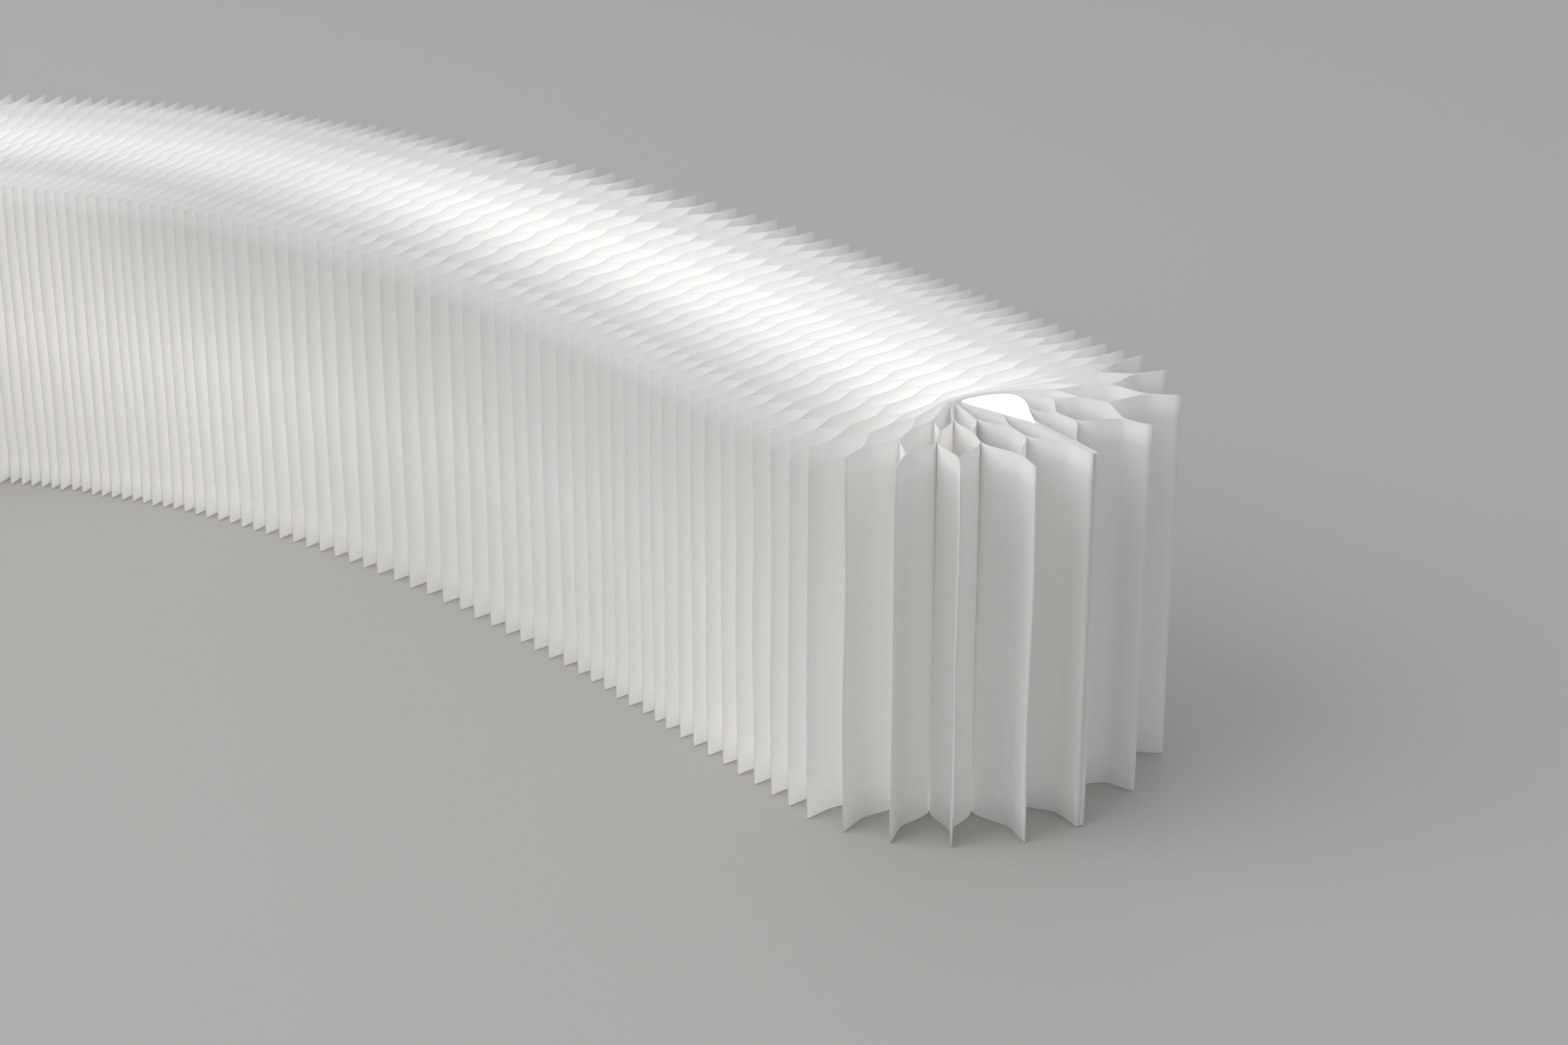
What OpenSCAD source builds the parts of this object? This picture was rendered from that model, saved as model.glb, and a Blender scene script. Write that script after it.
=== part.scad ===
// Free-standing pleated paper screen with a light ribbon inside.
// Upright paper leaves stand side by side along a curved base line. Each leaf is glued
// to its two neighbours on alternate upright lines, so the stack opens into long cells.
// At both ends the last leaves fan round a crease, and the two halves of the end leaf
// lie face to face along the wall's own direction, held by magnets in thin boards.

/* [Paper leaves] */
// Height of a leaf
leaf_height = 275; // [200:5:500]
// Distance between two glue lines, measured across the wall
row_pitch = 46; // [44:1:54]
// Thickness of the paper
paper = 0.4; // [0.3:0.05:0.5]
// Thickness of the glue film between two leaves
glue_film = 0.1; // [0.1:0.05:0.2]
// Width of a glue line
glue_width = 16; // [10:1:18]
// Width of the glued strip at each pleat's tip
tip_glue = 22; // [14:1:24]

/* [Plan of the wall] */
// Length along the base line between the last straight leaves
wall_length = 1500; // [1200:10:1600]
// Direction of the right end, in degrees from +X
right_heading = -22; // [-30:1:-15]
// Turn of the base line in degrees at 1 m from the right end; it grows with the square
turn_at_1m = 38; // [0:0.1:39]
// Pairs of leaves in each pack that stretches
stretch_pairs = 11; // [9:1:11]
// Pairs of leaves in each pack that bends
bend_pairs = 3; // [2:1:4]

/* [Folded ends] */
// Distance from the leaves' middle to the crease of the folded ends, on the near side
crease_offset = 19; // [14:1:24]
// Distance between pairs of leaves at the crease
crease_pitch = 1.5; // [1.4:0.1:3]
// Thickness of the stiff board behind each half of the end leaf
board = 1.6; // [1.4:0.1:2.2]
// Gap between the two boards where they meet
seam_gap = 0.3; // [0.3:0.1:0.6]
// Diameter of a magnet
magnet_d = 14; // [8:1:18]
// Thickness of a magnet
magnet_t = 0.9; // [0.6:0.1:1]

/* [Light ribbon] */
// Thickness of the ribbon's sleeve
ribbon_t = 2.6; // [2:0.1:3]
// Height of the ribbon's sleeve
ribbon_h = 10; // [8:1:12]
// Height of the ribbon's middle above the floor
ribbon_z = 135; // [100:5:180]
// Room round the ribbon in each slot
slot_room = 0.7; // [0.5:0.1:1.5]

/* [Hidden] */

near = -1;
far = 1;
right = 1;
left = -1;

// A leaf's reach from its crease to its tip, on either side
half_leaf = 3 * row_pitch - glue_width / 2 + tip_glue;
function tip_r(side) = half_leaf + side * crease_offset;

// Pairs, counted from the right end: a fan, then the wall, then the other fan.
// A station is a single pair that keeps its shape. A pack that stretches lies between
// the first two stations, then one that bends, and so on in turn.
fan_pairs = 5;
stretch_packs = 6;
stations = 2 * stretch_packs;
packs = stations - 1;
wall_pairs = stations + stretch_packs * stretch_pairs + (stretch_packs - 1) * bend_pairs;
pair_count = wall_pairs + 2 * fan_pairs;

// How far apart the pairs stand, relative to each other, by share of their number
bunching = [
    [0, 19], [0.11, 15.5], [0.19, 19], [0.28, 23], [0.36, 18.5],
    [0.5, 12.5], [0.68, 11.5], [0.87, 15.5], [1, 17]
];

// Directions of the fan's leaf pairs at their tips, in degrees from the wall's own
// direction, from the end leaf back to the last straight pair
near_tips = [5.5, -14.3, -35.3, -53.1, -68.1, -80.9];
far_tips = [5.5, 34.6, 59.3, 77.5, 89.4, 93.2];
// How far those far tips are from the creases. The end leaf's far half is bent as far
// as the split, where its two halves meet.
split_r = 63.6;
split_angle = 16.4;
far_reach = [split_r, 138.2, 157.3, 166.1, 168.1];
// Directions in which the far lines leave the creases and reach their other ends, and
// how long they keep to each
far_starts = [88.8, 94.6, 95.8, 94.1, 92];
far_start_pulls = [71.1, 79.3, 62.5, 54.4, 57.6];
far_ends = [-25.3, 25.9, 52.6, 75.7, 91.8];
far_end_pulls = [30, 50, 50, 50, 50];
// Direction from each crease to the next one outwards, from the end leaf's back
crease_aims = [48, 36, 27, 20, 14];
// How wide the creases are rounded
crease_round = 5;
// How fast the slant of the last straight pairs dies out along the wall
slant_length = 150;

// The near and far pair lines keep this far from the middle of the seam
seam_half = seam_gap / 2 + board + 1.5 * glue_film + paper;

function dir(a) = [cos(a), sin(a)];
function mix(a, b, t) = a + (b - a) * t;
function clamp01(t) = min(1, max(0, t));
function ease(t) = let (c = clamp01(t)) c * c * (3 - 2 * c);
function unit(v) = v / norm(v);
function add(list, i = 0) = i < len(list) ? list[i] + add(list, i + 1) : 0;

// Base line: its direction, and its points at equal steps from the right end
step = 5;
function heading(s) = right_heading + turn_at_1m * pow(s / 1000, 2);
line_points = [
    for (i = 0, p = [0, 0]; i <= wall_length / step + 1;
        p = p - step * dir(heading((i + 0.5) * step)), i = i + 1) p
];
function centre(s) =
    let (i = min(floor(s / step), wall_length / step))
    mix(line_points[i], line_points[i + 1], s / step - i);

// Distance of each straight pair from the right end
spacing = [for (i = [0 : wall_pairs - 2]) lookup((i + 0.5) / (wall_pairs - 1), bunching)];
all_spacing = add(spacing);
pair_s = [
    for (i = 0, s = 0; i < wall_pairs; s = s + (i < wall_pairs - 1 ? spacing[i] : 0), i = i + 1)
        s * wall_length / all_spacing
];

// Frame of each folded end: the direction outwards, the far direction, and the end
// leaf's crease, from which the creases of the pairs behind it run back to the wall
function end_axes(end) =
    let (a = heading(end == right ? 0 : wall_length)) [end * dir(a), dir(a + 90)];
function in_axes(end, p) = let (f = end_axes(end)) p[0] * f[0] + p[1] * f[1];
function crease_spot(i) =
    i < 1 ? [0, 0] : crease_spot(i - 1) - crease_pitch * dir(crease_aims[i - 1]);
function from_end(end, p) =
    centre(end == right ? 0 : wall_length) + in_axes(end, p - crease_spot(fan_pairs));

// The seam runs from the split to the tip, in an end's own frame
split = split_r * dir(split_angle);
tip = tip_r(near) * dir(near_tips[0]);
seam_length = norm(tip - split);
seam_dir = unit(tip - split);
seam_normal = [-seam_dir[1], seam_dir[0]];
// Length of the end leaf's far half from the crease to the split
far_split = tip_r(far) - seam_length;

// A smooth curve from a to b that leaves and arrives in given directions, as points with
// their place along a leaf. Beyond open_r the leaf's weave uses up part of its length, so
// that b is at the given place.
curve_steps = 50;
open_r = 48;
function curve_point(a, b, out, back, t) =
    pow(1 - t, 3) * a + 3 * pow(1 - t, 2) * t * (a + out)
        + 3 * (1 - t) * t * t * (b - back) + pow(t, 3) * b;
function curve(a, b, out, back, length) =
    let (
        ps = [for (k = [0 : curve_steps + 3]) curve_point(a, b, out, back, k / curve_steps)],
        run = [
            for (k = 0, l = 0; k < len(ps);
                l = l + (k < len(ps) - 1 ? norm(ps[k + 1] - ps[k]) : 0), k = k + 1) l
        ],
        gain = (length - open_r) / (run[curve_steps] - open_r)
    )
    [for (k = [0 : len(ps) - 1]) [run[k] + (gain - 1) * max(0, run[k] - open_r), ps[k]]];
function on_curve(c, r) = [
    lookup(r, [for (q = c) [q[0], q[1][0]]]),
    lookup(r, [for (q = c) [q[0], q[1][1]]])
];
far_curves = [
    for (i = [0 : fan_pairs - 1])
        curve(crease_spot(i),
            i == 0 ? split + seam_half * seam_normal : far_reach[i] * dir(far_tips[i]),
            far_start_pulls[i] * dir(far_starts[i]), far_end_pulls[i] * dir(far_ends[i]),
            i == 0 ? far_split : tip_r(far))
];

// A pair's line in an end's own frame, at distance r from the crease along the leaf
function end_line(side, r) =
    let (
        start = side == near ? split_r : far_split,
        along = (r - start) / (tip_r(side) - start)
    )
    r >= start ? mix(split, tip, along) + side * seam_half * seam_normal
    : side == near ? (split - seam_half * seam_normal) * r / split_r
    : on_curve(far_curves[0], r);
function fan_line(i, side, r) =
    let (
        a = i == 0 ? split_angle : near_tips[i],
        b = far_starts[i],
        line = i == 0 ? end_line(side, r)
            : side == near ? crease_spot(i) + r * dir(a) : on_curve(far_curves[i], r)
    )
    line + crease_round * cos((b - a) / 2) * exp(-r / crease_round) * dir((a + b) / 2);

// Slant of a straight pair: towards the nearer end on the near side, away on the far side
function slant(s, side) =
    let (a = side == near ? near_tips[fan_pairs] + 90 : far_tips[fan_pairs] - 90)
    a * (exp(-s / slant_length) - exp(-(wall_length - s) / slant_length));
function wall_line(s, side, r) =
    centre(s) + r * dir(heading(s) + side * 90 + slant(s, side));

function pair_line(i, side, r) =
    i < fan_pairs ? from_end(right, fan_line(i, side, r))
    : i >= pair_count - fan_pairs ? from_end(left, fan_line(pair_count - 1 - i, side, r))
    : wall_line(pair_s[i - fan_pairs], side, r);

// Even lines are pairs; an odd line lies half way between two pairs
function line_at(m, side, r) =
    m % 2 == 0 ? pair_line(m / 2, side, r)
    : (pair_line((m - 1) / 2, side, r) + pair_line((m + 1) / 2, side, r)) / 2;
// Unit vector across a line, towards the right end
function across(m, side, r) =
    let (d = unit(line_at(m, side, r + 1) - line_at(m, side, r)))
    side * [d[1], -d[0]];

// Ends of the free stretch of a leaf between two glue lines, from the leaf's middle
function stretch_start(n) = n * row_pitch + glue_width / 2;
function stretch_end(n) = (n + 1) * row_pitch - glue_width / 2;
// A leaf weaves from its own pair's line (0) to the line shared with the next pair (1)
function weave(side, r) =
    let (
        q = abs(r - side * crease_offset),
        n = min(2, floor(q / row_pitch)),
        climb = ease((q - stretch_start(n)) / (stretch_end(n) - stretch_start(n)))
    )
    n % 2 == 0 ? 1 - climb : climb;
// Places along a half leaf where its outline has points, from the tip to the crease. The
// marks part glued strips from free stretches; each strip and stretch is then divided.
marks = [
    half_leaf, stretch_end(2), stretch_start(2), stretch_end(1), stretch_start(1),
    stretch_end(0), stretch_start(0), -stretch_start(0), -stretch_end(0)
];
function radii(side, strip_parts, free_parts, least) = [
    for (i = [0 : len(marks) - 2])
        let (n = i % 2 == 0 ? strip_parts : free_parts)
        for (f = [0 : n - 1])
            let (r = mix(marks[i], marks[i + 1], f / n) + side * crease_offset)
            if (r > least) r
];

// A leaf is [its pair's line, the line it shares with the next pair, 1 where it lies on
// its pair's side towards the right end, or -1]. A point on one of its faces:
function leaf_point(leaf, side, r, z) =
    let (
        e = leaf[0], o = leaf[1], w = e == o ? 0 : weave(side, r),
        off = leaf[2] * (glue_film + paper) / 2 * (1 - 2 * w) + z
    )
    mix(line_at(e, side, r), line_at(o, side, r), w)
        + off * unit(mix(across(e, side, r), across(o, side, r), w));
// The two halves of a leaf meet at the crease in a mitred corner
function crease_point(leaf, z) =
    let (
        e = leaf[0], o = leaf[1], w = e == o ? 0 : weave(near, 0),
        a = unit(mix(across(e, near, 0), across(o, near, 0), w)),
        b = unit(mix(across(e, far, 0), across(o, far, 0), w)),
        off = leaf[2] * (glue_film + paper) / 2 * (1 - 2 * w) + z
    )
    mix(line_at(e, near, 0), line_at(o, near, 0), w) + off * (a + b) / (1 + a * b);
function leaf_face(leaf, rs, z) = concat(
    [for (r = rs[0]) leaf_point(leaf, near, r, z)],
    [crease_point(leaf, z)],
    [for (r = reversed(rs[1])) leaf_point(leaf, far, r, z)]
);
function reversed(list) = [for (i = [len(list) - 1 : -1 : 0]) list[i]];
function leaf_outline(leaf, rs) =
    concat(leaf_face(leaf, rs, -paper / 2), reversed(leaf_face(leaf, rs, paper / 2)));

// The whole plan is moved so that its middle stands on the origin
tips = [for (i = [0 : pair_count - 1], side = [near, far]) pair_line(i, side, tip_r(side))];
tip_xs = [for (p = tips) p[0]];
tip_ys = [for (p = tips) p[1]];
middle = [max(tip_xs) + min(tip_xs), max(tip_ys) + min(tip_ys)] / 2;
module in_place() { translate([-middle[0], -middle[1], 0]) children(); }

wall_radii = [for (side = [near, far]) radii(side, 1, 2, 2)];
fan_radii = [for (side = [near, far]) concat(radii(side, 2, 6, 8), [7, 4.5, 2.6, 1.2])];
paper_colour = [0.95, 0.94, 0.92];
function angle_of(v) = atan2(v[1], v[0]);

// One leaf, with the slot that the ribbon passes through at its middle
slot_length = 8;
wall_slot = ribbon_t + 2 * slot_room;
fan_slot = 10;
module leaf(l, rs = wall_radii, slot = wall_slot)
    difference() {
        linear_extrude(leaf_height) polygon(leaf_outline(l, rs));
        translate(concat(line_at(l[1], far, crease_offset), [ribbon_z]))
            rotate(angle_of(across(l[1], far, crease_offset)))
                cube([slot_length, slot, ribbon_h + 2 * slot_room], center = true);
    }
module pair(i, rs = wall_radii, slot = wall_slot) {
    leaf([2 * i, 2 * i - 1, right], rs, slot);
    leaf([2 * i, 2 * i + 1, left], rs, slot);
}

// Stations and packs, numbered from the right end
function station(n) =
    fan_pairs + floor(n / 2) * (stretch_pairs + 1) + floor((n - 1) / 2) * (bend_pairs + 1);
module leaf_pair(n)
    color(paper_colour) in_place() pair(station(n));
module leaf_pack(n)
    color(paper_colour) in_place()
        for (i = [station(n) + 1 : station(n + 1) - 1]) pair(i);

// The leaves that fan round the crease at one end, and the outer leaf of the end pair
last = pair_count - 1;
module fan_leaves(end)
    color(paper_colour) in_place() {
        for (i = [1 : fan_pairs - 1]) pair(end == right ? i : last - i, fan_radii, fan_slot);
        leaf(end == right ? [0, 1, left] : [2 * last, 2 * last - 1, right], fan_radii, fan_slot);
    }
module end_sheet(end)
    color(paper_colour) in_place()
        leaf(end == right ? [0, 0, right] : [2 * last, 2 * last, left], fan_radii, fan_slot);

// Stiff boards inside the seam, with magnets sealed in them near the outer edge
board_start = 6;
board_margin = 0.5;
magnet_inset = 14;
magnet_fit = 0.1;
magnet_heights = [0.1, 0.5, 0.9] * leaf_height;
function on_seam(along, offset) = split + along * seam_dir + offset * seam_normal;
module board_plate(end, side) {
    a = side * seam_gap / 2;
    b = side * (seam_gap / 2 + board);
    linear_extrude(leaf_height) polygon([
        for (p = [
            [board_start, a], [seam_length - board_margin, a],
            [seam_length - board_margin, b], [board_start, b]
        ]) from_end(end, on_seam(p[0], p[1]))
    ]);
}
module discs(end, side, grow) {
    p = from_end(end, on_seam(seam_length - magnet_inset, side * (seam_gap + board) / 2));
    q = from_end(end, on_seam(seam_length - magnet_inset, side * (seam_gap + board)));
    for (z = magnet_heights)
        translate(concat(p, [z])) rotate(angle_of(q - p)) rotate([0, 90, 0])
            cylinder(h = magnet_t + 2 * grow, d = magnet_d + 2 * grow, center = true, $fn = 48);
}
module end_board(end, side)
    color([0.86, 0.85, 0.83]) in_place() difference() {
        board_plate(end, side);
        discs(end, side, magnet_fit);
    }
module magnets(end, side)
    color([0.62, 0.63, 0.65]) in_place() discs(end, side, 0);

// The light ribbon runs through the slots at the leaves' middles, and each end of it
// reaches into the hollow between the two halves of the end leaf
ribbon_step = 15;
tail = [22, 20];
tail_dir = [1, 0];
function station_s(n) = pair_s[station(n) - fan_pairs];
function ribbon_points(a, b) =
    let (n = ceil((b - a) / ribbon_step))
    [for (i = [0 : n]) wall_line(mix(a, b, i / n), far, crease_offset)];
function tail_points(end) = concat(
    [from_end(end, tail)],
    [for (i = [0 : fan_pairs - 1]) from_end(end, fan_line(i, far, crease_offset))]
);
function band_normal(path, i) =
    let (
        a = unit(path[max(i, 1)] - path[max(i, 1) - 1]),
        b = unit(path[min(i, len(path) - 2) + 1] - path[min(i, len(path) - 2)])
    )
    [-(a + b)[1], (a + b)[0]] / (1 + a * b);
function band(path, t) = concat(
    [for (i = [0 : len(path) - 1]) path[i] + t / 2 * band_normal(path, i)],
    [for (i = [len(path) - 1 : -1 : 0]) path[i] - t / 2 * band_normal(path, i)]
);
ribbon_joint = 0.2;
module light_ribbon(n) {
    path = concat(
        n == 1 ? tail_points(right) : [],
        ribbon_points(station_s(n) + (n == 1 ? 0 : ribbon_joint),
            station_s(n + 1) - (n == packs ? 0 : ribbon_joint)),
        n == packs ? reversed(tail_points(left)) : []
    );
    color([1, 0.95, 0.85]) in_place()
        translate([0, 0, ribbon_z - ribbon_h / 2])
            linear_extrude(ribbon_h) polygon(band(path, ribbon_t));
}

// Round socket on the ribbon's left end, open at the top
inlet_d = 12;
inlet_h = 18;
socket_d = 5.6;
socket_depth = 10;
inlet_gap = 0.1;
module power_inlet() {
    p = from_end(left, tail + (inlet_gap + inlet_d / 2) * tail_dir);
    color([0.9, 0.9, 0.88]) in_place()
        translate(concat(p, [ribbon_z - inlet_h / 2]))
            difference() {
                cylinder(h = inlet_h, d = inlet_d, $fn = 64);
                translate([0, 0, inlet_h - socket_depth])
                    cylinder(h = socket_depth + 1, d = socket_d, $fn = 48);
            }
}

leaf_pair(1);  // leaf_pair_01
leaf_pair(2);  // leaf_pair_02
leaf_pair(3);  // leaf_pair_03
leaf_pair(4);  // leaf_pair_04
leaf_pair(5);  // leaf_pair_05
leaf_pair(6);  // leaf_pair_06
leaf_pair(7);  // leaf_pair_07
leaf_pair(8);  // leaf_pair_08
leaf_pair(9);  // leaf_pair_09
leaf_pair(10);  // leaf_pair_10
leaf_pair(11);  // leaf_pair_11
leaf_pair(12);  // leaf_pair_12
leaf_pack(1);  // leaf_pack_01
leaf_pack(2);  // leaf_pack_02
leaf_pack(3);  // leaf_pack_03
leaf_pack(4);  // leaf_pack_04
leaf_pack(5);  // leaf_pack_05
leaf_pack(6);  // leaf_pack_06
leaf_pack(7);  // leaf_pack_07
leaf_pack(8);  // leaf_pack_08
leaf_pack(9);  // leaf_pack_09
leaf_pack(10);  // leaf_pack_10
leaf_pack(11);  // leaf_pack_11
light_ribbon(1);  // light_ribbon_01
light_ribbon(2);  // light_ribbon_02
light_ribbon(3);  // light_ribbon_03
light_ribbon(4);  // light_ribbon_04
light_ribbon(5);  // light_ribbon_05
light_ribbon(6);  // light_ribbon_06
light_ribbon(7);  // light_ribbon_07
light_ribbon(8);  // light_ribbon_08
light_ribbon(9);  // light_ribbon_09
light_ribbon(10);  // light_ribbon_10
light_ribbon(11);  // light_ribbon_11
fan_leaves(right);  // right_fan_leaves
fan_leaves(left);  // left_fan_leaves
end_sheet(right);  // right_end_sheet
end_sheet(left);  // left_end_sheet
end_board(right, near);  // right_near_board
end_board(right, far);  // right_far_board
end_board(left, near);  // left_near_board
end_board(left, far);  // left_far_board
magnets(right, near);  // right_near_magnets
magnets(right, far);  // right_far_magnets
magnets(left, near);  // left_near_magnets
magnets(left, far);  // left_far_magnets
power_inlet();
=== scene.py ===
import math

import bpy
import numpy as np
from mathutils import Euler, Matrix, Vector


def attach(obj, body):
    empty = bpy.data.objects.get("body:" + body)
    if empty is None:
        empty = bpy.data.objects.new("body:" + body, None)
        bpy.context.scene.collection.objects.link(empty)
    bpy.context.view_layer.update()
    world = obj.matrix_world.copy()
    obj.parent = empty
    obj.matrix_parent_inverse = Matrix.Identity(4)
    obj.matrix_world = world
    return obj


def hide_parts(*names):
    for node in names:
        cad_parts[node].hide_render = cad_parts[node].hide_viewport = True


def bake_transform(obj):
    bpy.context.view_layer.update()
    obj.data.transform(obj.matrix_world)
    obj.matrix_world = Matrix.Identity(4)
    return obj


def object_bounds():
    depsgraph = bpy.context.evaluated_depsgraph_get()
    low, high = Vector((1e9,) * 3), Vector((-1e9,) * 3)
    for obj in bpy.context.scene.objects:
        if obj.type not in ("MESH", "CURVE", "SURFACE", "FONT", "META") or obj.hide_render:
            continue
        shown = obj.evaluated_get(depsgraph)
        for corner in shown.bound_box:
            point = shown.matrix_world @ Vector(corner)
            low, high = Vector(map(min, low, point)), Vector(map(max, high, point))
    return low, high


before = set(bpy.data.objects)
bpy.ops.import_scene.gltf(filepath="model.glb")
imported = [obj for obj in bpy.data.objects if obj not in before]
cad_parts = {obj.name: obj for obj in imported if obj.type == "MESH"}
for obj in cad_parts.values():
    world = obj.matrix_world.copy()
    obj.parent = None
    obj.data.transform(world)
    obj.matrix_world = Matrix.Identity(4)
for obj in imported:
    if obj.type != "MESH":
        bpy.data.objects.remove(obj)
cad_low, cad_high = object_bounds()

# ---------------------------------------------------------------- sizes, in metres
HEIGHT = cad_high.z - cad_low.z
ROW = 0.046                # between two glued strips, across the wall
GLUE = 0.016               # width of a glued strip
TIP_GLUE = 0.022           # width of the glued strip at a pleat's tip
HALF_LEAF = 3 * ROW - GLUE / 2 + TIP_GLUE
CREASE_OFFSET = 0.019      # from a leaf's middle to its crease, on the near side
PAPER = 0.0004             # thickness of the paper
LEAF_OFFSET = 0.00025      # a leaf's middle lies this far from its glue line's middle
WALL_LENGTH = 1.5
RIGHT_HEADING = -22.0      # direction of the right end, degrees from +X
TURN = 38.0                # turn of the base line at 1 m, degrees; it grows with the square
CREASE_PITCH = 0.0015      # between two pairs' creases in a folded end
CREASE_ROUND = 0.005       # how wide those creases are rounded
SEAM_HALF = 0.0023         # the end leaf's halves keep this far from the seam's middle
SPLIT_R = 0.0636           # how far from the crease the end leaf's halves part,
SPLIT_ANGLE = 16.4         # and in which direction, degrees
SLANT_LENGTH = 0.150       # how far along the wall the lines straighten up
RIBBON_Z = 0.135           # height of the light ribbon's middle
RIBBON_T = 0.0026          # its thickness
RIBBON_H = 0.010           # its width, which stands upright
SLOT_ROOM = 0.0007         # between the ribbon and a slot's edges
FAN_SLOT = 0.010           # width of the slots in the folded ends

NEAR, FAR = -1, 1          # the two halves of a leaf
RIGHT, LEFT = 1, -1        # the two ends of the wall
FAN_PAIRS = 5              # pairs in a folded end, with the end leaf as number 0
STRETCH_PACKS = 6
STRETCH_PAIRS = 11         # pairs in a pack that stretches
BEND_PAIRS = 3             # pairs in a pack that bends
STATIONS = 2 * STRETCH_PACKS
PACKS = STATIONS - 1
WALL_PAIRS = STATIONS + STRETCH_PACKS * STRETCH_PAIRS + (STRETCH_PACKS - 1) * BEND_PAIRS
PAIRS = WALL_PAIRS + 2 * FAN_PAIRS
LAST = PAIRS - 1

# How far apart the pairs stand, relative to each other, by share of their number
BUNCHING = [
    (0, 19), (0.11, 15.5), (0.19, 19), (0.28, 23), (0.36, 18.5),
    (0.5, 12.5), (0.68, 11.5), (0.87, 15.5), (1, 17),
]
# Directions of the tips of a folded end's pairs, from the end leaf back to the last
# straight pair, and how far the far ones are from their creases
NEAR_TIPS = [5.5, -14.3, -35.3, -53.1, -68.1, -80.9]
FAR_TIPS = [5.5, 34.6, 59.3, 77.5, 89.4, 93.2]
FAR_REACH = [SPLIT_R, 0.1382, 0.1573, 0.1661, 0.1681]
# Directions in which the far lines leave the creases and arrive, and how long they keep
# to each
FAR_STARTS = [88.8, 94.6, 95.8, 94.1, 92]
FAR_START_PULLS = [0.0711, 0.0793, 0.0625, 0.0544, 0.0576]
FAR_ENDS = [-25.3, 25.9, 52.6, 75.7, 91.8]
FAR_END_PULLS = [0.030, 0.050, 0.050, 0.050, 0.050]
OPEN_R = 0.048             # beyond this the weave uses up part of a far half's length
# Directions from each next pair's crease to the one before it
CREASE_AIMS = [48, 36, 27, 20, 14]
CURVE_STEPS = 50
CURVE_EXTRA = 4            # steps by which a curve runs on past its end
NUDGE = 0.001              # step along a line that shows its direction

# Each pair is a little off its place, more so towards its tips
WAVE_SIZES = (0.0002, 0.0009)
WAVE_TURNS = (3, 8)        # quarter waves from the floor to the top
TIP_SHIFT = 0.0006
END_LEAF_WAVE = 0.2        # share of its wave that the stiffer end leaf keeps


def aim(degrees):
    """Unit vectors in plan for directions in degrees; a last axis of 2 is added."""
    a = np.radians(np.asarray(degrees, float))
    return np.stack([np.cos(a), np.sin(a)], axis=-1)


def ease(t):
    """A smooth step from 0, at t = 0, to 1, at t = 1."""
    c = np.clip(t, 0, 1)
    return c * c * (3 - 2 * c)


def unit(v):
    """Vectors of length 1 in the directions of v."""
    return v / np.linalg.norm(v, axis=-1, keepdims=True)


# ---------------------------------------------------------------- the wall's base line
STEP = 0.005
STEPS = round(WALL_LENGTH / STEP) + 1


def heading(s):
    """Direction of the base line at distance s from the right end, in degrees."""
    return RIGHT_HEADING + TURN * np.square(s)


line_points = np.vstack([
    np.zeros(2), np.cumsum(-STEP * aim(heading((np.arange(STEPS) + 0.5) * STEP)), axis=0)
])


def centre(s):
    """Point of the base line at distance s from the right end."""
    at = np.arange(len(line_points)) * STEP
    return np.stack([np.interp(s, at, line_points[:, k]) for k in range(2)], axis=-1)


# Distance of each of the wall's pairs from the right end
gap_share = (np.arange(WALL_PAIRS - 1) + 0.5) / (WALL_PAIRS - 1)
gaps = np.interp(gap_share, *zip(*BUNCHING))
pair_s = np.concatenate([[0], np.cumsum(gaps)]) * WALL_LENGTH / gaps.sum()

# ---------------------------------------------------------------- lines of a folded end
# A folded end has its own frame: its origin is the end leaf's crease, and its x axis goes
# on along the base line, away from the wall
crease_spots = np.vstack([np.zeros(2), -CREASE_PITCH * np.cumsum(aim(CREASE_AIMS), axis=0)])


def in_axes(end, p):
    """A vector in an end's own frame, as a vector in plan."""
    a = heading(0 if end == RIGHT else WALL_LENGTH)
    return p[..., :1] * end * aim(a) + p[..., 1:] * aim(a + 90)


def from_end(end, p):
    """A point in an end's own frame, as a point in plan."""
    start = centre(0 if end == RIGHT else WALL_LENGTH)
    return start + in_axes(end, np.asarray(p, float) - crease_spots[FAN_PAIRS])


def reach(side):
    """Length of a half leaf, from its crease to its tip."""
    return HALF_LEAF + side * CREASE_OFFSET


# The seam in which the end leaf's halves meet again, from where they part to their tips
split = SPLIT_R * aim(SPLIT_ANGLE)
tip = reach(NEAR) * aim(NEAR_TIPS[0])
seam_dir = unit(tip - split)
seam_normal = np.array([-seam_dir[1], seam_dir[0]])
far_split = reach(FAR) - np.linalg.norm(tip - split)


def curve(i):
    """Places along a far half leaf, with the points there, of fan pair i's curved line."""
    a = crease_spots[i]
    b = split + SEAM_HALF * seam_normal if i == 0 else FAR_REACH[i] * aim(FAR_TIPS[i])
    out = a + FAR_START_PULLS[i] * aim(FAR_STARTS[i])
    back = b - FAR_END_PULLS[i] * aim(FAR_ENDS[i])
    t = np.arange(CURVE_STEPS + CURVE_EXTRA)[:, None] / CURVE_STEPS
    p = (1 - t) ** 3 * a + 3 * (1 - t) ** 2 * t * out + 3 * (1 - t) * t * t * back + t ** 3 * b
    run = np.concatenate([[0], np.cumsum(np.linalg.norm(np.diff(p, axis=0), axis=1))])
    length = far_split if i == 0 else reach(FAR)
    gain = (length - OPEN_R) / (run[CURVE_STEPS] - OPEN_R)
    return run + (gain - 1) * np.maximum(0, run - OPEN_R), p


far_curves = [curve(i) for i in range(FAN_PAIRS)]


def on_curve(i, r):
    """Points of fan pair i's curved line at distances r from the crease along it."""
    places, points = far_curves[i]
    return np.stack([np.interp(r, places, points[:, k]) for k in range(2)], axis=-1)


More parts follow.
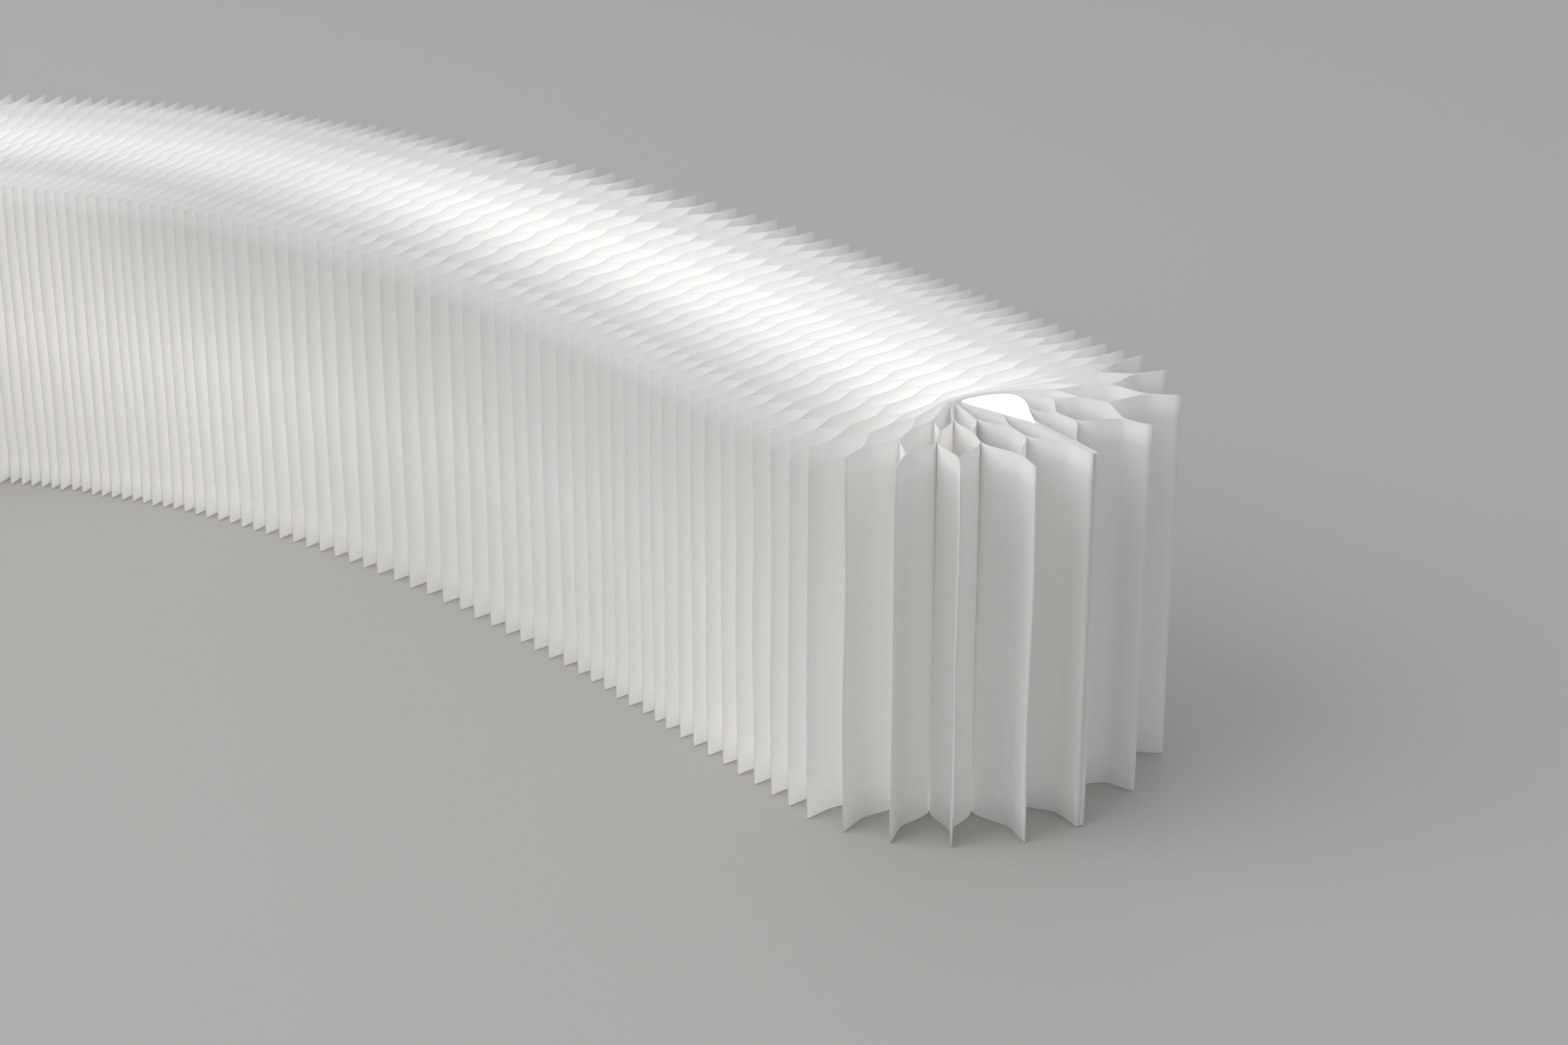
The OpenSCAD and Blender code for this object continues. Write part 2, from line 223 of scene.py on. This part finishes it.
def end_line(side, r):
    """The end leaf's line in its own frame, at distance r from the crease along it."""
    start = SPLIT_R if side == NEAR else far_split
    along = ((r - start) / (reach(side) - start))[..., None]
    seam = split + (tip - split) * along + side * SEAM_HALF * seam_normal
    if side == NEAR:
        inner = (r / SPLIT_R)[..., None] * (split - SEAM_HALF * seam_normal)
    else:
        inner = on_curve(0, r)
    return np.where((r < start)[..., None], inner, seam)


def fan_line(i, side, r):
    """Fan pair i's line in the end's own frame, rounded off where its halves meet."""
    r = np.asarray(r, float)
    near_aim, far_aim = SPLIT_ANGLE if i == 0 else NEAR_TIPS[i], FAR_STARTS[i]
    if i == 0:
        line = end_line(side, r)
    elif side == NEAR:
        line = crease_spots[i] + r[..., None] * aim(near_aim)
    else:
        line = on_curve(i, r)
    width = math.cos(math.radians((far_aim - near_aim) / 2))
    rounding = CREASE_ROUND * width * np.exp(-r / CREASE_ROUND)
    return line + rounding[..., None] * aim((near_aim + far_aim) / 2)


# ---------------------------------------------------------------- lines of all pairs
rng = np.random.default_rng(7)
wave_size = rng.uniform(*WAVE_SIZES, (PAIRS, 2))
wave_phase = rng.uniform(0, 2 * np.pi, (PAIRS, 2))
wave_turns = rng.uniform(*WAVE_TURNS, (PAIRS, 2))
tip_shift = rng.normal(0, TIP_SHIFT, (PAIRS, 2))


def slant(s, side):
    """How far a line of the wall leans from square to the base line, in degrees."""
    a = NEAR_TIPS[FAN_PAIRS] + 90 if side == NEAR else FAR_TIPS[FAN_PAIRS] - 90
    return a * (np.exp(-s / SLANT_LENGTH) - np.exp(-(WALL_LENGTH - s) / SLANT_LENGTH))


def wall_line(s, side, r):
    """A straight line across the wall at distance s, at places r from the base line."""
    turn = heading(s) + side * 90 + slant(s, side)
    return centre(s) + np.asarray(r)[..., None] * aim(turn)


def plan_line(i, side, r):
    """Pair i's line without its small errors."""
    if i < FAN_PAIRS:
        return from_end(RIGHT, fan_line(i, side, r))
    if i > LAST - FAN_PAIRS:
        return from_end(LEFT, fan_line(LAST - i, side, r))
    return wall_line(pair_s[i - FAN_PAIRS], side, r)


def from_end_leaf(i):
    """How many pairs pair i stands from the nearer end leaf."""
    return min(i, LAST - i)


def pair_line(i, side, r, z):
    """Pair i's line at places r and heights z, with the pair's own small errors."""
    which = 0 if side == NEAR else 1
    outer = np.square((r - side * CREASE_OFFSET) / HALF_LEAF) * (r > 0)
    p = plan_line(i, side, np.maximum(r - tip_shift[i, which] * outer, 0))
    size = wave_size[i, which] * (END_LEAF_WAVE if from_end_leaf(i) == 0 else 1)
    wave = np.sin(wave_turns[i, which] * z / HEIGHT * np.pi / 2 + wave_phase[i, which])
    d = unit(plan_line(i, side, r + NUDGE) - plan_line(i, side, r))
    return p + np.stack([d[..., 1], -d[..., 0]], axis=-1) * (size * wave * outer)[..., None]


def line_at(m, side, r, z):
    """Even lines are pairs; an odd line lies half way between two pairs."""
    if m % 2 == 0:
        return pair_line(m // 2, side, r, z)
    return (pair_line((m - 1) // 2, side, r, z) + pair_line((m + 1) // 2, side, r, z)) / 2


def across(m, side, r, z):
    """Unit vector across a line, towards the right end."""
    d = unit(line_at(m, side, r + NUDGE, z) - line_at(m, side, r, z))
    return side * np.stack([d[..., 1], -d[..., 0]], axis=-1)


# ---------------------------------------------------------------- leaves
# A leaf is named by its own pair's line, the line that it shares with a neighbouring pair,
# and the side of its own pair, RIGHT or LEFT, on which it lies. An end leaf shares no line.


def weave(side, r):
    """0 on a leaf's own pair's line, 1 on the line that it shares with its neighbour."""
    q = np.abs(r - side * CREASE_OFFSET)
    n = np.minimum(2, np.floor(q / ROW))
    climb = ease((q - n * ROW - GLUE / 2) / (ROW - GLUE))
    return np.where(n % 2 == 0, 1 - climb, climb)


def between(a, b, w):
    """Points a where w is 0, and b where it is 1."""
    return a * (1 - w[..., None]) + b * w[..., None]


def leaf_points(leaf, side, r, z):
    """Points of a half leaf at places r and heights z."""
    own, shared, toward = leaf
    w = np.zeros_like(r) if own == shared else weave(side, r)
    off = toward * LEAF_OFFSET * (1 - 2 * w)
    line = between(line_at(own, side, r, z), line_at(shared, side, r, z), w)
    normal = unit(between(across(own, side, r, z), across(shared, side, r, z), w))
    return line + off[..., None] * normal


def crease_points(leaf, z):
    """The two halves of a leaf meet at the crease in a mitred corner."""
    own, shared, toward = leaf
    zero = np.zeros_like(z)
    w = zero if own == shared else weave(NEAR, zero)
    a, b = [
        unit(between(across(own, side, zero, z), across(shared, side, zero, z), w))
        for side in (NEAR, FAR)
    ]
    off = toward * LEAF_OFFSET * (1 - 2 * w)
    mitre = 1 + np.sum(a * b, axis=-1, keepdims=True)
    line = between(line_at(own, NEAR, zero, z), line_at(shared, NEAR, zero, z), w)
    return line + off[..., None] * (a + b) / mitre


tips = np.array([
    plan_line(i, side, np.array(reach(side))) for i in range(PAIRS) for side in (NEAR, FAR)
])
middle = (tips.max(axis=0) + tips.min(axis=0)) / 2

# ---------------------------------------------------------------- the light inside, painted on the paper as glow
# Painted glow: the paper is given emission in place of the ribbon's light that passes through it. Share
# of the wall's length, with how bright the light inside is painted there, and how much of it is painted
# as coming through the near tips at the top, half way up and at the floor
GLOW_ALONG = [
    (0, 0.96, 0.02, 0.05, 0.08), (0.06, 0.96, 0.03, 0.09, 0.13), (0.16, 0.96, 0.03, 0.08, 0.09),
    (0.35, 0.96, 0.01, 0.09, 0.07), (0.42, 0.94, 0.02, 0.12, 0.09), (0.53, 0.71, 0.03, 0.17, 0.13),
    (0.66, 0.77, 0.12, 0.17, 0.11), (0.8, 0.9, 0.11, 0.12, 0.07), (1, 0.85, 0.03, 0.05, 0.03),
]
SPREAD = {NEAR: 0.094, FAR: 0.112}   # how far out from the middle the light reaches
CORE_GLOW = 0.36           # in the middle, at the floor and the top
LEVEL_GLOW = 0.08          # what is added at the ribbon's height
# Share of the middle's glow in the fan, from the end leaf back to the wall
FAN_GLOW = {NEAR: [0, 0, 0, 0.35, 0.75], FAR: [0.1, 0.2, 0.4, 0.8, 0.95]}
TIPS_GLOW = {NEAR: 1, FAR: 0.3}      # of what comes through the near tips
# FOOT_GLOW is painted glow: it stands in for light that comes out under the leaves, and it also lifts
# the shade at the leaves' feet next to the floor.
FOOT_GLOW = {NEAR: 0.17, FAR: 0.1}   # at the floor, where light comes out under the leaves
FOOT_HEIGHT = 0.010
# DEEP_GLOW and HOLLOW_GLOW are painted glow, low down in the fan's cells and inside the end leaf's
# hollow.
DEEP_GLOW = 0.14           # low down in the fan's cells
HOLLOW_GLOW = 0.8          # inside the end leaf's hollow
HOLLOW_EDGE = 0.004        # width in which that ends at the seam
# Painted glow for what comes through the near halves in the fan, which also lightens the shade of the
# valleys between their tips: on both sides, by distance from the crease, and on the side towards the
# end, by pair, in the cells and outside them
FAN_THROUGH = [(0.065, 0), (0.074, 0.03), (0.086, 0.06), (0.105, 0)]
THROUGH_FADE = 0.4         # share of it that is lost at the top
END_THROUGH = [(0, 0), (0, 0.1), (0.2, 0.04), (0.04, 0.01), (0, 0.02)]
END_THROUGH_AT = (0.055, 0.08)
# Where these start or end, from the leaf's middle, and the width in which they do
TIPS_START = 0.085
DEEP_END = 0.08
FAR_FAN_END = 0.1
RISE = 0.03


def rise(t, start):
    """0 up to start and 1 from RISE beyond it."""
    return ease((t - start) / RISE)


def glow_at(leaf, side, r, z):
    """How much painted glow a leaf gets, from its pair's place, the place along it and the height."""
    i = leaf[0] // 2
    k = from_end_leaf(i)
    s = pair_s[np.clip(i - FAN_PAIRS, 0, WALL_PAIRS - 1)] / WALL_LENGTH
    along, bright, *through = zip(*GLOW_ALONG)
    t = np.abs(r - side * CREASE_OFFSET)
    level = 1 - np.square((z - RIBBON_Z) / (HEIGHT / 2))
    core = np.exp(-np.square(t / SPREAD[side])) * (CORE_GLOW + LEVEL_GLOW * level)
    core = core * np.interp(s, along, bright)
    foot = np.exp(-z / FOOT_HEIGHT) * rise(t, TIPS_START)
    if k >= FAN_PAIRS:
        from_floor = [np.interp(s, along, column) for column in reversed(through)]
        skin = TIPS_GLOW[side] * np.interp(z, [0, HEIGHT / 2, HEIGHT], from_floor)
        return core + skin * rise(t, TIPS_START) + FOOT_GLOW[side] * foot
    core = core * FAN_GLOW[side][k]
    deep = DEEP_GLOW * (1 - z / HEIGHT) * (1 - rise(t, DEEP_END))
    glow = deep + FOOT_GLOW[FAR] * foot
    if side == FAR:
        return glow + core * (1 - rise(t, FAR_FAN_END))
    if k > 0:
        glow = glow + np.interp(r, *zip(*FAN_THROUGH)) * (1 - THROUGH_FADE * z / HEIGHT)
    return glow + core


def end_glow_at(leaf, side, r):
    """Painted glow that a leaf of a folded end adds on its side towards the end, which is painted
    brighter than its other side.
    """
    if leaf[0] == leaf[1]:
        inner = SPLIT_R if side == NEAR else far_split
        return HOLLOW_GLOW * ease((inner - r) / HOLLOW_EDGE)
    k = from_end_leaf(leaf[0] // 2)
    if side == NEAR and k < FAN_PAIRS:
        return np.interp(r, END_THROUGH_AT, END_THROUGH[k])
    return np.zeros_like(r)


# ---------------------------------------------------------------- materials
PAPER_COLOUR = (0.78, 0.77, 0.755)
# The cut edges are painted a little darker than the paper's faces, as painted shade, and EDGE_GAIN
# keeps their painted glow low.
EDGE_COLOUR = (0.72, 0.71, 0.695)
EDGE_GAIN = 0.05           # the cut edges hardly glow
# colour of the paper's painted glow
GLOW_COLOUR = (1, 0.985, 0.965)
SLEEVE_COLOUR = (0.95, 0.93, 0.88)
SLEEVE_LIGHT = (1, 0.95, 0.86)
SLEEVE_STRENGTH = (0.9, 1.3)
BOARD_COLOUR = (0.74, 0.73, 0.71)
MAGNET_COLOUR = (0.6, 0.6, 0.61)
INLET_COLOUR = (0.8, 0.8, 0.78)
FLOOR_COLOUR = (0.435, 0.424, 0.408)


def new_material(name, colour, roughness):
    m = bpy.data.materials.new(name)
    m.use_nodes = True
    n = m.node_tree.nodes
    bsdf = n["Principled BSDF"]
    bsdf.inputs["Base Color"].default_value = (*colour, 1)
    bsdf.inputs["Roughness"].default_value = roughness
    return m, n, m.node_tree.links, bsdf


def noise(n, links, scale):
    """A noise texture that keeps its place on the object."""
    where = n.new("ShaderNodeTexCoord")
    cloud = n.new("ShaderNodeTexNoise")
    cloud.inputs["Scale"].default_value = scale
    links.new(where.outputs["Object"], cloud.inputs["Vector"])
    return cloud


def fibres(n, links, bsdf, colour, scale, contrast, depth):
    """Faint cloudy fibres in a sheet's colour and surface."""
    cloud = noise(n, links, scale)
    cloud.inputs["Detail"].default_value = 5
    tone = n.new("ShaderNodeMix")
    tone.data_type = "RGBA"
    tone.inputs["A"].default_value = (*[c * (1 - contrast) for c in colour], 1)
    tone.inputs["B"].default_value = (*[min(1, c * (1 + contrast)) for c in colour], 1)
    links.new(cloud.outputs["Fac"], tone.inputs["Factor"])
    links.new(tone.outputs["Result"], bsdf.inputs["Base Color"])
    bump = n.new("ShaderNodeBump")
    bump.inputs["Strength"].default_value = 0.25
    bump.inputs["Distance"].default_value = depth
    links.new(cloud.outputs["Fac"], bump.inputs["Height"])
    links.new(bump.outputs["Normal"], bsdf.inputs["Normal"])


def paper_material(name, colour, attribute, gain=1.0):
    """Paper with painted glow: emission by a value that its mesh holds, in place of light through the
    paper.
    """
    m, n, links, bsdf = new_material(name, colour, 0.85)
    fibres(n, links, bsdf, colour, scale=130, contrast=0.02, depth=0.0002)
    glow = n.new("ShaderNodeAttribute")
    glow.attribute_name = attribute
    strength = n.new("ShaderNodeMath")
    strength.operation = "MULTIPLY"
    strength.inputs[1].default_value = gain
    links.new(glow.outputs["Fac"], strength.inputs[0])
    links.new(strength.outputs[0], bsdf.inputs["Emission Strength"])
    bsdf.inputs["Emission Color"].default_value = (*GLOW_COLOUR, 1)
    return m


def sleeve_material():
    """The light ribbon's sleeve, a little brighter in spots, as over its lamps."""
    m, n, links, bsdf = new_material("light_sleeve", SLEEVE_COLOUR, 0.5)
    bsdf.inputs["Emission Color"].default_value = (*SLEEVE_LIGHT, 1)
    spread = n.new("ShaderNodeMapRange")
    spread.inputs["To Min"].default_value, spread.inputs["To Max"].default_value = SLEEVE_STRENGTH
    links.new(noise(n, links, 60).outputs["Fac"], spread.inputs["Value"])
    links.new(spread.outputs["Result"], bsdf.inputs["Emission Strength"])
    return m


def plain_material(name, colour, roughness, scale, contrast, metallic=0.0):
    m, n, links, bsdf = new_material(name, colour, roughness)
    bsdf.inputs["Metallic"].default_value = metallic
    fibres(n, links, bsdf, colour, scale, contrast, depth=0.0001)
    return m


paper = paper_material("paper", PAPER_COLOUR, "glow")
# The side of a folded end's leaves towards the end is a lit copy of the paper, with more painted glow.
paper_end_side_lit = paper_material("paper_end_side_lit", PAPER_COLOUR, "end_glow")
paper_edge = paper_material("paper_edge", EDGE_COLOUR, "glow", EDGE_GAIN)
light_sleeve = sleeve_material()
board = plain_material("board", BOARD_COLOUR, roughness=0.8, scale=220, contrast=0.05)
magnet = plain_material(
    "magnet", MAGNET_COLOUR, roughness=0.35, scale=500, contrast=0.03, metallic=1.0)
inlet = plain_material("inlet", INLET_COLOUR, roughness=0.45, scale=300, contrast=0.02)

# ---------------------------------------------------------------- sheets of paper
SLOT_LOW = RIBBON_Z - RIBBON_H / 2 - SLOT_ROOM
SLOT_HIGH = RIBBON_Z + RIBBON_H / 2 + SLOT_ROOM
# Heights of a sheet's rows of points
LEVELS = np.array([0, 0.03, 0.065, 0.1, SLOT_LOW, SLOT_HIGH, 0.17, 0.205, 0.235, 0.258, HEIGHT])
FREE_MIN = 0.025           # a stretch longer than this is a free one between two strips,
STRIP_MIN = 0.012          # and one longer than this a whole glued strip
COLUMN_ROOM = 0.001        # columns near the crease keep this far from the first strip


def add_object(name, data):
    o = bpy.data.objects.new(name, data)
    bpy.context.scene.collection.objects.link(o)
    return o


def columns(side, slot, free_parts, strip_parts, inner):
    """Places of a half leaf's columns, from the crease to the tip."""
    marks = [edge + n * ROW for n in range(3) for edge in (GLUE / 2, ROW - GLUE / 2)]
    marks = marks[1:] if side == NEAR else [-marks[0], -slot / 2, slot / 2] + marks
    marks = [m + side * CREASE_OFFSET for m in marks] + [reach(side)]
    rs = [r for r in inner if r < marks[0] - COLUMN_ROOM] + marks[:1]
    for a, b in zip(marks[:-1], marks[1:]):
        parts = free_parts if b - a > FREE_MIN else strip_parts if b - a > STRIP_MIN else 1
        rs += list(np.linspace(a, b, parts + 1)[1:])
    return np.array(rs)


def leaf_shape(slot, free_parts, strip_parts, inner):
    """Columns of both halves, with the slot's width; inner are the ones near the crease."""
    return {s: columns(s, slot, free_parts, strip_parts, inner) for s in (NEAR, FAR)}, slot


def place_in(values, value):
    """Where in an array a value stands."""
    return int(np.argmin(np.abs(values - value)))


class Sheets:
    """Collects leaves, or halves of them, into one mesh."""

    def __init__(self):
        self.verts, self.faces, self.glow, self.end_glow = [], [], [], []
        self.count = 0

    def grid(self, points, glow, end_glow, hole):
        """points is levels x places x 3; hole is the (level, place) of a face left out."""
        levels, places = points.shape[:2]
        at = self.count + np.arange(levels * places).reshape(levels, places)
        keep = np.ones((levels - 1, places - 1), bool)
        if hole is not None:
            keep[hole] = False
        quads = np.stack([at[:-1, :-1], at[:-1, 1:], at[1:, 1:], at[1:, :-1]], axis=-1)
        self.verts.append(points.reshape(-1, 3))
        self.faces.append(quads[keep])
        self.glow.append(glow.reshape(-1))
        self.end_glow.append(end_glow.reshape(-1))
        self.count += levels * places

    def leaf(self, leaf, shape, sides=(NEAR, FAR)):
        """Adds a leaf, or one half of it, from its near tip over the crease to its far one."""
        rs, slot = shape
        plan, glow, end_glow = [], [], []
        for part in (NEAR, 0, FAR):
            if part != 0 and part not in sides:
                continue
            side = part if part != 0 else NEAR
            z, r = np.meshgrid(LEVELS, rs[part][::part] if part != 0 else [0.0], indexing="ij")
            plan.append(leaf_points(leaf, side, r, z) if part != 0 else crease_points(leaf, z))
            glow.append(glow_at(leaf, side, r, z))
            end_glow.append(glow[-1] + end_glow_at(leaf, side, r))
        hole = None
        if FAR in sides:
            before = len(rs[NEAR]) + 1 if NEAR in sides else 1
            place = before + place_in(rs[FAR], CREASE_OFFSET - slot / 2)
            hole = (place_in(LEVELS, SLOT_LOW), place)
        plan = np.concatenate(plan, axis=1)
        height = np.broadcast_to(LEVELS[:, None], plan.shape[:2])
        points = np.concatenate([plan - middle, height[..., None]], axis=-1)
        self.grid(points, np.concatenate(glow, axis=1), np.concatenate(end_glow, axis=1), hole)
        return self

    def pair(self, i, shape):
        """Adds the two leaves that are glued to each other on pair i's line."""
        self.leaf((2 * i, 2 * i - 1, RIGHT), shape)
        self.leaf((2 * i, 2 * i + 1, LEFT), shape)
        return self

    def piece(self, name, replaced, end=0):
        """Makes the piece; end is the folded end that it belongs to, or 0."""
        mesh = bpy.data.meshes.new(name)
        verts, faces = np.concatenate(self.verts), np.concatenate(self.faces)
        mesh.from_pydata(verts.tolist(), [], faces.tolist())
        for attribute, values in (("glow", self.glow), ("end_glow", self.end_glow)):
            layer = mesh.attributes.new(attribute, "FLOAT", "POINT")
            layer.data.foreach_set("value", np.concatenate(values).astype(np.float32))
        mesh.polygons.foreach_set("use_smooth", [True] * len(mesh.polygons))
        right_side, left_side = (paper_end_side_lit if end == e else paper for e in (RIGHT, LEFT))
        for material in (right_side, paper_edge, left_side):
            mesh.materials.append(material)
        mesh.update()
        o = add_object(name, mesh)
        solid = o.modifiers.new("paper", "SOLIDIFY")
        solid.thickness = PAPER
        solid.offset = 0
        solid.material_offset = 2
        solid.material_offset_rim = 1
        solid.use_even_offset = False
        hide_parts(replaced)
        return o


# ---------------------------------------------------------------- the wall
WALL_SLOT = RIBBON_T + 2 * SLOT_ROOM
WALL_SHAPE = leaf_shape(WALL_SLOT, free_parts=5, strip_parts=1, inner=[0.006, 0.012])


def station(n):
    """Number of the pair that is station n."""
    return FAN_PAIRS + n // 2 * (STRETCH_PAIRS + 1) + (n - 1) // 2 * (BEND_PAIRS + 1)


def station_s(n):
    """Distance of station n from the right end."""
    return pair_s[station(n) - FAN_PAIRS]


def station_body(n):
    return f"station_{n:02d}"


def blend_between(piece):
    """Bakes the place of a piece that runs from station n to the next into its mesh."""
    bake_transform(piece)


def make_wall():
    for n in range(1, STATIONS + 1):
        piece = Sheets().pair(station(n), WALL_SHAPE).piece(
            f"glued_pair_{n:02d}", f"leaf_pair_{n:02d}")
        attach(piece, station_body(n))
    for n in range(1, PACKS + 1):
        sheets = Sheets()
        for i in range(station(n) + 1, station(n + 1)):
            sheets.pair(i, WALL_SHAPE)
        blend_between(sheets.piece(f"bellows_{n:02d}", f"leaf_pack_{n:02d}"))


# ---------------------------------------------------------------- folded ends
FAN_SHAPE = leaf_shape(FAN_SLOT, free_parts=9, strip_parts=4,
                       inner=[0.0012, 0.0026, 0.0045, 0.007, 0.009, 0.012, 0.0155])


def blend_leaf(piece):
    """Bakes the place of a leaf of pair k, glued on to pair k + step, into its mesh."""
    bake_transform(piece)


def fan_pair(end, k):
    """Number of the pair that is pair k of a folded end."""
    return k if end == RIGHT else LAST - k


def make_fan(end):
    word = "right" if end == RIGHT else "left"
    own = 2 * fan_pair(end, 0)
    for side, half in ((NEAR, "near"), (FAR, "far")):
        flap = f"{word}_{half}_flap"
        piece = Sheets().leaf((own, own, end), FAN_SHAPE, (side,)).piece(
            f"{word}_{half}_end_sheet", f"{word}_end_sheet", end)
        if side == NEAR:
            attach(piece, flap)
        else:
            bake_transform(piece)
        for k in range(FAN_PAIRS):
            for step in ((1,) if k == 0 else (-1, 1)):
                line = 2 * fan_pair(end, k)
                piece = Sheets().leaf((line, line + step * end, -step * end), FAN_SHAPE, (side,)).piece(
                    f"{word}_{half}_fan_{k}" + ("a" if step < 0 else "b"), f"{word}_fan_leaves", end)
                blend_leaf(piece)


# ---------------------------------------------------------------- light ribbon
RIBBON_STEP = 0.006
RIBBON_TAIL = (0.022, 0.020)   # the ribbon's last point, in an end's own frame
RIBBON_GAP = 0.0002        # a length of ribbon ends this far from its station's middle
EDGE_POINTS = 6            # in each rounded long edge
SHARP = 60                 # edges sharper than this don't shade smoothly, degrees


def ribbon_path(n):
    """Points of the ribbon's middle from station n to the next, and into a folded end."""
    s0, s1 = station_s(n), station_s(n + 1)
    s0, s1 = s0 + (0 if n == 1 else RIBBON_GAP), s1 - (0 if n == PACKS else RIBBON_GAP)
    steps = np.linspace(s0, s1, math.ceil((s1 - s0) / RIBBON_STEP) + 1)
    path = list(wall_line(steps, FAR, np.full(len(steps), CREASE_OFFSET)))
    spots = [RIBBON_TAIL, *[fan_line(i, FAR, CREASE_OFFSET) for i in range(FAN_PAIRS)]]
    if n == 1:
        path = [from_end(RIGHT, p) for p in spots] + path
    if n == PACKS:
        path = path + [from_end(LEFT, p) for p in spots[::-1]]
    return np.array(path)


def ribbon_outline():
    """The ribbon's section: across it, and up from its middle."""
    arc = np.linspace(0, np.pi, EDGE_POINTS)
    half = RIBBON_H / 2 - RIBBON_T / 2
    return np.concatenate([
        np.stack([np.cos(arc) * RIBBON_T / 2, half + np.sin(arc) * RIBBON_T / 2], axis=-1),
        np.stack([-np.cos(arc) * RIBBON_T / 2, -half - np.sin(arc) * RIBBON_T / 2], axis=-1),
    ])


def make_ribbon(n):
    """A flat sleeve with rounded long edges, swept along its path."""
    path = ribbon_path(n)
    d = unit(np.gradient(path, axis=0))
    side = np.stack([-d[:, 1], d[:, 0]], axis=-1)
    outline = ribbon_outline()
    verts = [
        (p[0] + q[0] * u, p[1] + q[1] * u, RIBBON_Z + v)
        for p, q in zip(path - middle, side) for u, v in outline
    ]
    count = len(outline)
    faces = [tuple(range(count)), tuple(range(len(verts) - count, len(verts)))[::-1]]
    for first in range(0, len(verts) - count, count):
        for j in range(count):
            a, b = first + j, first + (j + 1) % count
            faces.append((a, a + count, b + count, b))
    mesh = bpy.data.meshes.new(f"light_sleeve_{n:02d}")
    mesh.from_pydata(verts, [], faces)
    mesh.polygons.foreach_set("use_smooth", [True] * len(mesh.polygons))
    mesh.set_sharp_from_angle(angle=math.radians(SHARP))
    mesh.materials.append(light_sleeve)
    o = add_object(mesh.name, mesh)
    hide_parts(f"light_ribbon_{n:02d}")
    blend_between(o)


# ---------------------------------------------------------------- boards, magnets and inlet
def dress_cad_nodes():
    """The boards, magnets and inlet keep their solids and get their materials."""
    looks = {"_board": board, "_magnets": magnet, "power_inlet": inlet}
    for name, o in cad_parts.items():
        for ending, material in looks.items():
            if name.endswith(ending):
                o.data.materials.clear()
                o.data.materials.append(material)


# ---------------------------------------------------------------- stage, light, camera
FLOOR_SIZE = 30
FLOOR_ROOM = 0.0004        # the floor lies this far below the leaves' feet
SKY_COLOUR = (0.98, 0.99, 1.0)
SKY_STRENGTH = 0.68
KEY_PLACE = (-2.0, -3.0, 3.4)
KEY_SIZE = 6.0
KEY_POWER = 130

# The photograph's view: place of the camera, its direction in plan, how far it looks
# down, how far it rolls, and its focal length in pixels of the 2352 wide picture
CAMERA_PLACE = (1.6493, -1.7424, 0.9781)
CAMERA_HEADING = 122.782
CAMERA_PITCH = 22.179
CAMERA_ROLL = 0.010
PHOTO_WIDTH = 2352
FOCAL_PIXELS = 4519.3
SENSOR = 36.0


def make_floor():
    bpy.ops.mesh.primitive_plane_add(size=FLOOR_SIZE, location=(0, 0, -FLOOR_ROOM))
    floor = bpy.context.object
    floor.name = "floor"
    floor.data.materials.append(new_material("floor", FLOOR_COLOUR, 0.6)[0])


def make_lights():
    world = bpy.data.worlds.new("studio")
    bpy.context.scene.world = world
    world.use_nodes = True
    background = world.node_tree.nodes["Background"]
    background.inputs["Color"].default_value = (*SKY_COLOUR, 1)
    background.inputs["Strength"].default_value = SKY_STRENGTH
    lamp = bpy.data.lights.new("key", "AREA")
    lamp.shape = "DISK"
    lamp.size = KEY_SIZE
    lamp.energy = KEY_POWER
    o = add_object("key", lamp)
    o.location = KEY_PLACE
    o.rotation_euler = (-Vector(KEY_PLACE)).to_track_quat("-Z", "Y").to_euler()


def make_camera():
    cam = bpy.data.cameras.new("camera")
    cam.sensor_width = SENSOR
    cam.sensor_fit = "HORIZONTAL"
    cam.lens = SENSOR * FOCAL_PIXELS / PHOTO_WIDTH
    o = add_object("camera", cam)
    o.location = CAMERA_PLACE
    look = Euler((math.radians(90 - CAMERA_PITCH), 0, math.radians(CAMERA_HEADING - 90)), "XYZ")
    roll = Euler((0, 0, math.radians(CAMERA_ROLL)), "XYZ")
    o.rotation_euler = (look.to_matrix() @ roll.to_matrix()).to_euler()
    bpy.context.scene.camera = o


make_wall()
make_fan(RIGHT)
make_fan(LEFT)
for number in range(1, PACKS + 1):
    make_ribbon(number)
dress_cad_nodes()
make_floor()
make_lights()
make_camera()
bpy.context.scene.view_settings.view_transform = "Standard"
